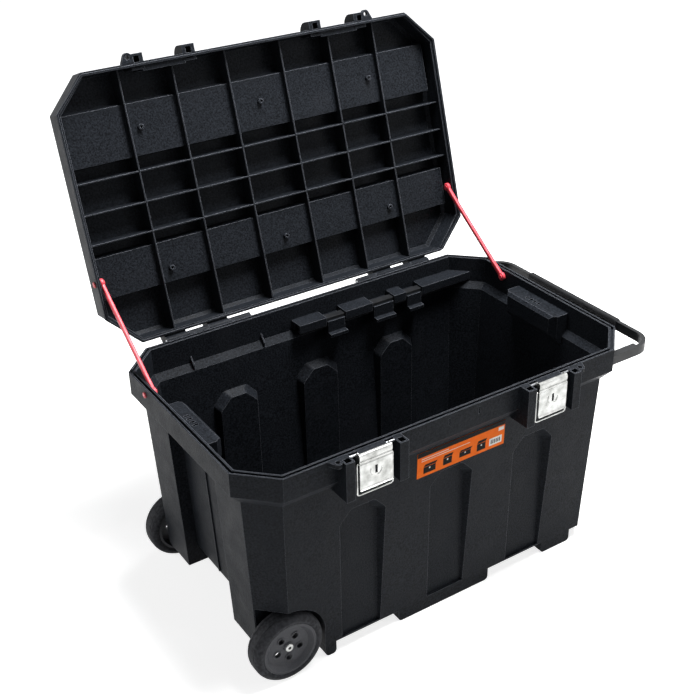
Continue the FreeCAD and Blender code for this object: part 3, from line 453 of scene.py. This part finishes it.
orange_film = printed_film("orange label film", "#F86E18", "#FF7A22")
black_ink = printed_film("black label ink", "#060607", "#0C0C0D")
pale_ink = printed_film("pale label ink", "#EFEDE8", "#F8F6F2")
grey_ink = printed_film("grey label ink", "#3A3B3E", "#4A4B4E")
print("inks:", [m.name for m in (orange_film, black_ink, pale_ink, grey_ink)])

# %% [markdown]
# ### The solids get their finishes
#
# Most solids are fine enough to be seen as they are, and only need their finish. The names of the two
# sides start alike, so the longest start that fits a solid's name tells its finish.

# %% Give every solid its finish
FINISHES = {
    "chest_shell": black_plastic, "lid_shell": black_plastic, "front_label": orange_film,
    "hinge_pin": drawn_steel, "latch_lever": zinc, "latch_bail": zinc, "latch_pin": drawn_steel,
    "handle_frame": black_paint, "handle_grip": grip_rubber, "axle": black_paint, "axle_cap": zinc,
    "tyre": tyre_rubber, "hub": hub_plastic, "wheel_spacer": nylon,
    "stay_strap": coral_plastic, "stay_pin": coral_plastic,
}
for name, solid in nodes.items():
    stem = max((key for key in FINISHES if name.startswith(key)), key=len)
    if not solid.data.materials:
        solid.data.materials.append(FINISHES[stem])
    for index in range(len(solid.data.materials)):
        solid.data.materials[index] = FINISHES[stem]
print("finished solids:", len(nodes))

# %% [markdown]
# ## Finer pieces
#
# Some solids are plainer than the real thing. Each gets a finer piece that stands in its place. A piece is
# shaped in millimetres about the tub's middle with mesh operators, and one function turns it into the
# model's metres, smooths it and gives it its finish.

# %% A helper that finishes a piece
TO_MODEL = Matrix.Translation(TUB_MIDDLE) @ Matrix.Scale(1 / MM_PER_METRE, 4)


def new_piece(name, shape, finishes, smooth_degrees=35):
    bmesh.ops.recalc_face_normals(shape, faces=shape.faces)
    bmesh.ops.transform(shape, matrix=TO_MODEL, verts=shape.verts)
    mesh = bpy.data.meshes.new(name)
    shape.to_mesh(mesh)
    shape.free()
    for finish in finishes:
        mesh.materials.append(finish)
    mesh.shade_smooth()
    mesh.set_sharp_from_angle(angle=math.radians(smooth_degrees))
    piece = bpy.data.objects.new(name, mesh)
    scene.collection.objects.link(piece)
    return piece


print("a millimetre of a piece becomes", round(TO_MODEL.median_scale, 6), "m")

# %% [markdown]
# ### Picking out parts of a shape
#
# A mesh operator returns what it made in one list, and the next one often needs the points, edges or faces
# in it. Short helpers pick them out, always in the same order. A block is where several pieces start.

# %% Helpers that pick out parts of a shape
X, Y = 0, 1


def verts_of(made):
    return [part for part in made["geom"] if isinstance(part, bmesh.types.BMVert)]


def edges_of(verts):
    # each edge once, always in the same order
    return list(dict.fromkeys(edge for vert in verts for edge in vert.link_edges))


def faces_of(verts):
    return list(dict.fromkeys(face for vert in verts for face in vert.link_faces))


def runs_along(edge, axis):
    # true for an edge that covers more than a millimetre along the axis
    return abs(edge.verts[0].co[axis] - edge.verts[1].co[axis]) > 1


def block(shape, low, high, material=0):
    low, high = Vector(low), Vector(high)
    fit = Matrix.Translation((low + high) / 2) @ Matrix.Diagonal((*(high - low), 1))
    made = bmesh.ops.create_cube(shape, size=1.0, matrix=fit)["verts"]
    for face in faces_of(made):
        face.material_index = material
    return made


trial = bmesh.new()
print("a block has", len(edges_of(block(trial, (0, 0, 0), (1, 2, 3)))), "edges")
trial.free()

# %% [markdown]
# ### Latch levers: the sheet
#
# A lever is one pressing. Its section is drawn once as a chain of points: the curled top edge, a broad band,
# two creases that stiffen the sheet, the plain face and a lip to pull on. The chain is extruded sideways in
# three steps, the face over the keyhole is taken out, and the sheet is given its thickness.

# %% The sheet of a latch lever
LATCH_X = 219.0
LEVER_HALF = 37.0
LEVER_SHEET = 1.6
LEVER_SECTION = [    # depth and height of each point
    (-303.0, 519.6), (-305.6, 521.5), (-308.6, 521.6), (-310.6, 520.2), (-311.6, 517.5), (-311.9, 513.0),
    (-311.8, 509.0), (-310.0, 507.4), (-310.0, 506.2), (-311.7, 504.8), (-311.7, 502.4), (-310.1, 501.0),
    (-310.1, 499.8), (-311.6, 498.0), (-312.2, 488.0), (-312.3, 470.0), (-312.0, 454.0), (-311.9, 447.0),
    (-313.2, 443.4), (-315.2, 442.2),
]
KEYHOLE_HALF, KEYHOLE_LOW, KEYHOLE_HIGH = 2.8, 470.0, 488.0


def in_keyhole(face, middle_x):
    centre = face.calc_center_median()
    return abs(centre.x - middle_x) < KEYHOLE_HALF and KEYHOLE_LOW < centre.z < KEYHOLE_HIGH


def lever_sheet(middle_x):
    shape = bmesh.new()
    chain = [shape.verts.new((middle_x - LEVER_HALF, y, z)) for y, z in LEVER_SECTION]
    edges = [shape.edges.new(pair) for pair in zip(chain, chain[1:])]
    beside_keyhole = LEVER_HALF - KEYHOLE_HALF
    for step in (beside_keyhole, 2 * KEYHOLE_HALF, beside_keyhole):
        made = bmesh.ops.extrude_edge_only(shape, edges=edges)
        fresh = set(verts_of(made))
        bmesh.ops.translate(shape, vec=(step, 0, 0), verts=list(fresh))
        edges = [part for part in made["geom"]
                 if isinstance(part, bmesh.types.BMEdge) and set(part.verts) <= fresh]
    keyhole = [face for face in shape.faces if in_keyhole(face, middle_x)]
    bmesh.ops.delete(shape, geom=keyhole, context="FACES")
    bmesh.ops.recalc_face_normals(shape, faces=shape.faces)
    if sum(face.normal.y * face.calc_area() for face in shape.faces) > 0:
        bmesh.ops.reverse_faces(shape, faces=shape.faces)
    bmesh.ops.solidify(shape, geom=shape.faces[:], thickness=LEVER_SHEET)
    return shape


print("a lever is", 2 * LEVER_HALF, "mm wide, of sheet", LEVER_SHEET, "mm thick")

# %% [markdown]
# ### Latch levers: lugs and marks
#
# Two lugs are bent back from the sheet's sides to take the pivot. Each is a block with its two back corners
# rounded. Beside the keyhole two curved ridges are pressed into the face, and a small circle spun about the
# keyhole's middle makes each of them.

# %% Lugs and pressed marks
LUG_FRONT, LUG_BACK = -310.4, -294.0
LUG_LOW, LUG_HIGH = 481.0, 520.4
LUG_ROUNDING = 6.0
MARK_CENTRE_Y, MARK_CENTRE_Z = -312.6, 478.0
MARK_RADIUS, MARK_HALF_WIDTH = 13.0, 1.1
MARK_STARTS, MARK_SWEEP = (150, -75), 75


def add_lever_lugs(shape, middle_x):
    for side in (-1, 1):
        outer = middle_x + side * LEVER_HALF
        left, right = sorted((outer, outer - side * LEVER_SHEET))
        lug = block(shape, (left, LUG_FRONT, LUG_LOW), (right, LUG_BACK, LUG_HIGH))
        across = [edge for edge in edges_of(lug) if runs_along(edge, X)]
        corners = [edge for edge in across if all(vert.co.y > LUG_BACK - 1 for vert in edge.verts)]
        bmesh.ops.bevel(shape, geom=corners, offset=LUG_ROUNDING, segments=5, profile=0.5, affect="EDGES",
                        material=-1)


def add_lever_marks(shape, middle_x):
    centre = Vector((middle_x, MARK_CENTRE_Y, MARK_CENTRE_Z))
    for start in MARK_STARTS:
        out = Vector((math.cos(math.radians(start)), 0, math.sin(math.radians(start))))
        facing = Vector((0, 0, 1)).rotation_difference(Vector((-out.z, 0, out.x))).to_matrix().to_4x4()
        start_place = Matrix.Translation(centre + out * MARK_RADIUS) @ facing
        ring = bmesh.ops.create_circle(shape, cap_ends=True, segments=10, radius=MARK_HALF_WIDTH,
                                       matrix=start_place)["verts"]
        bmesh.ops.spin(shape, geom=faces_of(ring), cent=centre, axis=(0, -1, 0),
                       angle=math.radians(MARK_SWEEP), steps=10)


print("the pressed marks are", 2 * MARK_HALF_WIDTH, "mm wide")

# %% [markdown]
# ### Latch levers: both of them
#
# The two levers are alike. Each swings on its own body, and stands for the plain lever of the solid model.

# %% Latch levers
for side, middle_x in (("right", LATCH_X), ("left", -LATCH_X)):
    shape = lever_sheet(middle_x)
    add_lever_lugs(shape, middle_x)
    add_lever_marks(shape, middle_x)
    lever = new_piece("pressed_lever_" + side, shape, [zinc], smooth_degrees=30)
    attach(lever, "lever_" + side)
    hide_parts("latch_lever_" + side)
    print(lever.name, "has", len(lever.data.polygons), "faces")

# %% [markdown]
# ### Label
#
# The film is the solid's own plate. The print on it is plain and generic: a dark band along the top, two
# thin rules, four dark box shapes, a pale panel with a few grey bars and a smaller plain one. Each is a very
# thin block of ink, so it stays sharp from any distance. The blocks are drawn upright and then lean with
# the wall.

# %% Blocks of ink
LABEL_LEFT, LABEL_LOW, LABEL_FACE = -90.0, 372.0, -250.8
INK_LIFT, SECOND_INK_LIFT = 0.25, 0.4
INK_DEPTH = 0.05
BLACK, PALE, GREY = 0, 1, 2


def ink(shape, left, right, low, high, colour, lift=INK_LIFT):
    return block(shape, (LABEL_LEFT + left, LABEL_FACE - lift, LABEL_LOW + low),
                 (LABEL_LEFT + right, LABEL_FACE + INK_DEPTH, LABEL_LOW + high), colour)


def box_shape(shape, u, v, width, height):
    # a dark box with a leaning lid and a pale catch
    ink(shape, u - width / 2, u + width / 2, v - height / 2, v + height / 5, BLACK)
    lid = ink(shape, u - width / 2, u + width / 2, v + height / 4, v + height / 2, BLACK)
    for vert in lid:
        if vert.co.z > LABEL_LOW + v + height / 3:
            vert.co.x += width / 7
    ink(shape, u - 1.5, u + 1.5, v - height / 12, v + height / 12, PALE, SECOND_INK_LIFT)


print("ink stands", INK_LIFT, "mm proud of the film")

# %% [markdown]
# The layout is written as places on the label, in millimetres from its lower left corner.

# %% Label print
BAND = (0.3, 223.7, 50.0, 60.8)                      # left, right, low, high
RULES = ((10.0, 78.0, 43.6, 45.0), (10.0, 132.0, 38.6, 39.8))
BOX_SHAPES = ((31, 18, 30, 22), (76, 20, 22, 24), (121, 19, 29, 17), (163, 20, 22, 25))
PANEL, SMALL_PANEL = (184.0, 217.0, 8.0, 26.0), (207.0, 221.0, 38.0, 47.0)
BAR_COUNT, BARS_LEFT, BARS_LOW, BARS_HIGH = 6, 188.0, 12.0, 22.0
BAR_PITCH, BAR_WIDTH = 4.4, 2.6
WALL_LEAN = math.atan(17.0 / 409.0)                  # the front wall leans 17 mm over 409 mm
WALL_FOOT = Vector((0, -250.0, 30.0))

shape = bmesh.new()
ink(shape, *BAND, BLACK)
for rule in RULES:
    ink(shape, *rule, PALE)
for u, v, width, height in BOX_SHAPES:
    box_shape(shape, u, v, width, height)
ink(shape, *PANEL, PALE)
for index in range(BAR_COUNT):
    bar_left = BARS_LEFT + index * BAR_PITCH
    ink(shape, bar_left, bar_left + BAR_WIDTH, BARS_LOW, BARS_HIGH, GREY, SECOND_INK_LIFT)
ink(shape, *SMALL_PANEL, PALE)
lean = Matrix.Translation(WALL_FOOT) @ Matrix.Rotation(WALL_LEAN, 4, "X") @ Matrix.Translation(-WALL_FOOT)
bmesh.ops.transform(shape, matrix=lean, verts=shape.verts)
label_print = new_piece("label_print", shape, [black_ink, pale_ink, grey_ink])
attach(label_print, "chest")
print(label_print.name, "is", round(label_print.dimensions.x * MM_PER_METRE), "mm wide")

# %% [markdown]
# ### Tyres
#
# A small solid tyre has round shoulders, a shallow ring on its side and two fine grooves in its tread. Half
# its section is written down, the other half is the same turned over, and the closed section is spun about
# the axle. The hub's solid is fine enough and stays.

# %% Tyres
AXLE = Vector((-396.0, 0.0, 79.0))
TYRE_MIDDLE = 240.0
HALF_TYRE = [    # radius and distance from the tyre's middle
    (60.1, 21.6), (62.5, 22.0), (64.0, 23.4), (67.0, 24.0), (69.0, 23.6), (70.0, 22.9), (72.6, 21.8),
    (75.4, 19.4), (77.4, 16.2), (78.5, 12.6), (78.75, 10.6), (77.9, 10.2), (77.9, 9.2), (78.85, 8.8),
    (79.0, 4.0),
]


def spun(section, steps):
    # a closed section of (radius, y) spun about the axle
    shape = bmesh.new()
    chain = [shape.verts.new(AXLE + Vector((radius, y, 0))) for radius, y in section]
    edges = [shape.edges.new(pair) for pair in zip(chain, chain[1:] + chain[:1])]
    bmesh.ops.spin(shape, geom=chain + edges, cent=AXLE, axis=(0, 1, 0), angle=2 * math.pi, steps=steps,
                   use_merge=True)
    bmesh.ops.remove_doubles(shape, verts=shape.verts, dist=0.0001)
    return shape


for end, side in (("back", 1), ("front", -1)):
    section = [(radius, side * TYRE_MIDDLE + y) for radius, y in HALF_TYRE]
    section += [(radius, side * TYRE_MIDDLE - y) for radius, y in reversed(HALF_TYRE)]
    tyre = new_piece("moulded_tyre_" + end, spun(section, steps=96), [tyre_rubber], smooth_degrees=50)
    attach(tyre, "wheel_" + end)
    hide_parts("tyre_" + end)
    print(tyre.name, "has", len(tyre.data.polygons), "faces")

# %% [markdown]
# ### Axle caps
#
# The cap on the axle's end is a pressed push-on nut with a dished middle. It is spun about the axle as the
# tyre is, and the bottom of its dish is dark, as if the end of the painted axle showed there.

# %% Axle caps
CAP_START = 254.8
CAP_SECTION = [    # radius and distance from the cap's inner face
    (9.0, 0.0), (9.0, 2.2), (8.4, 3.4), (7.2, 4.0), (4.6, 4.0), (3.6, 3.4), (3.3, 2.4), (0.0, 2.4),
    (0.0, 0.0),
]
DISH_RADIUS, DISH_LEVEL = 3.5, 2.2

for end, side in (("back", 1), ("front", -1)):
    shape = spun([(radius, side * (CAP_START + y)) for radius, y in CAP_SECTION], steps=40)
    for face in shape.faces:
        centre = face.calc_center_median()
        if side * centre.y > CAP_START + DISH_LEVEL and (centre - AXLE).xz.length < DISH_RADIUS:
            face.material_index = 1
    cap = new_piece("push_nut_" + end, shape, [zinc, black_paint], smooth_degrees=40)
    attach(cap, "chest")
    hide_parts("axle_cap_" + end)
    print(cap.name, "is", round(cap.dimensions.x * MM_PER_METRE, 1), "mm across")

# %% [markdown]
# ### Handle grip
#
# The sleeve on the crossbar is extruded rubber with fine ribs along its length. A circle is pressed into a
# rounded oblong, every other pair of its points is drawn in, and the section is extruded along the bar. The
# last millimetres at both ends draw in, as a cut sleeve does.

# %% The grip's section
GRIP_MIDDLE = Vector((560.5, 0.0, 467.0))
GRIP_HALF = 150.0
GRIP_HALF_WIDTH, GRIP_HALF_HEIGHT = 9.9, 13.9
SQUARENESS = 0.5
GROOVE = 0.93
END_LENGTH, END_SCALE = 2.0, 0.9

grip_shape = bmesh.new()
upright = Matrix.Translation((0, -GRIP_HALF, 0)) @ Matrix.Rotation(math.pi / 2, 4, "X")
ring = bmesh.ops.create_circle(grip_shape, cap_ends=True, segments=96, radius=1.0, matrix=upright)["verts"]
for index, vert in enumerate(ring):
    rib = 1.0 if index % 4 < 2 else GROOVE
    vert.co.x = math.copysign(abs(vert.co.x) ** SQUARENESS, vert.co.x) * GRIP_HALF_WIDTH * rib
    vert.co.z = math.copysign(abs(vert.co.z) ** SQUARENESS, vert.co.z) * GRIP_HALF_HEIGHT * rib
bmesh.ops.scale(grip_shape, vec=(END_SCALE, 1, END_SCALE), verts=ring)
print("the grip's section has", len(ring), "points")

# %% [markdown]
# The section starts drawn in. It opens over the first two millimetres, runs along the bar, and draws in
# again over the last two.

# %% Handle grip
GRIP_STEPS = (    # how far along the bar, and how much the section grows
    (END_LENGTH, 1 / END_SCALE),
    (2 * (GRIP_HALF - END_LENGTH), 1.0),
    (END_LENGTH, END_SCALE),
)
end_face = faces_of(ring)
for step, scale in GRIP_STEPS:
    made = bmesh.ops.extrude_face_region(grip_shape, geom=end_face)
    end_face = [part for part in made["geom"] if isinstance(part, bmesh.types.BMFace)]
    bmesh.ops.translate(grip_shape, vec=(0, step, 0), verts=verts_of(made))
    bmesh.ops.scale(grip_shape, vec=(scale, 1, scale), verts=verts_of(made))
bmesh.ops.translate(grip_shape, vec=GRIP_MIDDLE, verts=grip_shape.verts)
grip = new_piece("ribbed_grip", grip_shape, [grip_rubber], smooth_degrees=50)
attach(grip, "handle")
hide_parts("handle_grip")
print(grip.name, "size in mm:", [round(v * MM_PER_METRE) for v in grip.dimensions])

# %% [markdown]
# ### Lid stays: the strap
#
# A stay is a soft moulded strap with a round eye at each end. When the lid shuts, the strap folds over, so
# the piece has to bend. It needs cuts along its length to bend smoothly: a block is bevelled along its long
# edges, sliced across by planes, and made a little wider towards its ends, where it runs into the eyes.

# %% The strap of a stay
STAY_LOW = Vector((0, 141.0, 503.0))
STAY_HIGH = Vector((0, 363.1, 661.1))
STAY_RUN = STAY_HIGH - STAY_LOW
STAY_LENGTH = STAY_RUN.length
STAY_SLICES = 28
STAY_HALF_WIDTH = 5.4
WIDER_OVER, WIDER_BY = 40.0, 0.25


def stay_strap(inner_x, outer_x):
    shape = bmesh.new()
    block(shape, (inner_x, 0, -STAY_HALF_WIDTH), (outer_x, STAY_LENGTH, STAY_HALF_WIDTH))
    long_edges = [edge for edge in shape.edges if runs_along(edge, Y)]
    bmesh.ops.bevel(shape, geom=long_edges, offset=2.6, segments=4, profile=0.5, affect="EDGES", material=-1)
    for index in range(1, STAY_SLICES):
        everything = shape.verts[:] + shape.edges[:] + shape.faces[:]
        cut = (0, STAY_LENGTH * index / STAY_SLICES, 0)
        bmesh.ops.bisect_plane(shape, geom=everything, plane_co=cut, plane_no=(0, 1, 0))
    for vert in shape.verts:
        near_end = min(vert.co.y, STAY_LENGTH - vert.co.y) / WIDER_OVER
        vert.co.z *= 1.0 + WIDER_BY * max(0.0, 1.0 - near_end)
    return shape


print("a stay is", round(STAY_LENGTH), "mm between its eyes")

# %% [markdown]
# ### Lid stays: eyes and slope
#
# Each eye is a flat disc with rounded rims round its pin. The strap is drawn lying down, then turned to the
# slope of the open lid.

# %% Lid stays
STAY_X = 456.0
STAY_THICKNESS = 8.0
EYE_RADIUS, EYE_ROUNDING = 10.0, 2.0


def add_eyes(shape, inner_x, outer_x):
    for y in (0.0, STAY_LENGTH):
        turn = Matrix.Translation(((inner_x + outer_x) / 2, y, 0)) @ Matrix.Rotation(math.pi / 2, 4, "Y")
        eye = bmesh.ops.create_cone(shape, cap_ends=True, segments=40, radius1=EYE_RADIUS, radius2=EYE_RADIUS,
                                    depth=outer_x - inner_x, matrix=turn)["verts"]
        rims = [edge for edge in edges_of(eye) if not runs_along(edge, X)]
        bmesh.ops.bevel(shape, geom=rims, offset=EYE_ROUNDING, segments=3, profile=0.5, affect="EDGES",
                        material=-1)


for side, sign in (("right", 1), ("left", -1)):
    inner_x, outer_x = sorted((sign * STAY_X, sign * (STAY_X + STAY_THICKNESS)))
    shape = stay_strap(inner_x, outer_x)
    add_eyes(shape, inner_x, outer_x)
    slope = Matrix.Rotation(math.atan2(STAY_RUN.z, STAY_RUN.y), 4, "X")
    bmesh.ops.transform(shape, matrix=slope, verts=shape.verts)
    bmesh.ops.translate(shape, vec=STAY_LOW, verts=shape.verts)
    strap = new_piece("lid_stay_" + side, shape, [coral_plastic], smooth_degrees=40)
    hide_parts("stay_strap_" + side)
    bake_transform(strap)
    print(strap.name, "has", len(strap.data.polygons), "faces")
